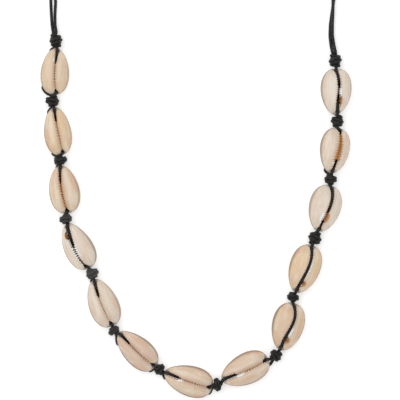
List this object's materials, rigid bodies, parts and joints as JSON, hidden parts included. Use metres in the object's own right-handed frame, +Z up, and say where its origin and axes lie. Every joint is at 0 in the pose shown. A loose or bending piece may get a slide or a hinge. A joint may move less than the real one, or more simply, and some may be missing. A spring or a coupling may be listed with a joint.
{
  "type": "shell necklace",
  "caption": "Necklace of cut cowrie shells on two waxed cords, with a knot before and after each shell, laid flat with the slits up.",
  "frame": {"origin": "middle of the loop, on the surface that the necklace lies on", "axes": "+Y from the bottom of the loop to its closing knot, +Z up through the slits of the shells, +X to the right"},
  "size_m": [0.1246, 0.1956, 0.0064],
  "materials": {
    "shell": "polished cream shell",
    "cord": "black waxed cotton"
  },
  "bodies": {
    "root": {"shell_01": "shell", "shell_02": "shell", "shell_03": "shell", "shell_04": "shell", "shell_05": "shell", "shell_06": "shell", "shell_07": "shell", "shell_08": "shell", "shell_09": "shell", "shell_10": "shell", "shell_11": "shell", "shell_12": "shell", "shell_13": "shell", "knot_01": "cord", "knot_02": "cord", "knot_03": "cord", "knot_04": "cord", "knot_05": "cord", "knot_06": "cord", "knot_07": "cord", "knot_08": "cord", "knot_09": "cord", "knot_10": "cord", "knot_11": "cord", "knot_12": "cord", "knot_13": "cord", "knot_14": "cord", "slit_cord": "cord", "back_cord": "cord", "left_neck": "cord", "right_neck": "cord", "closing_knot": "cord"}
  },
  "joints": []
}
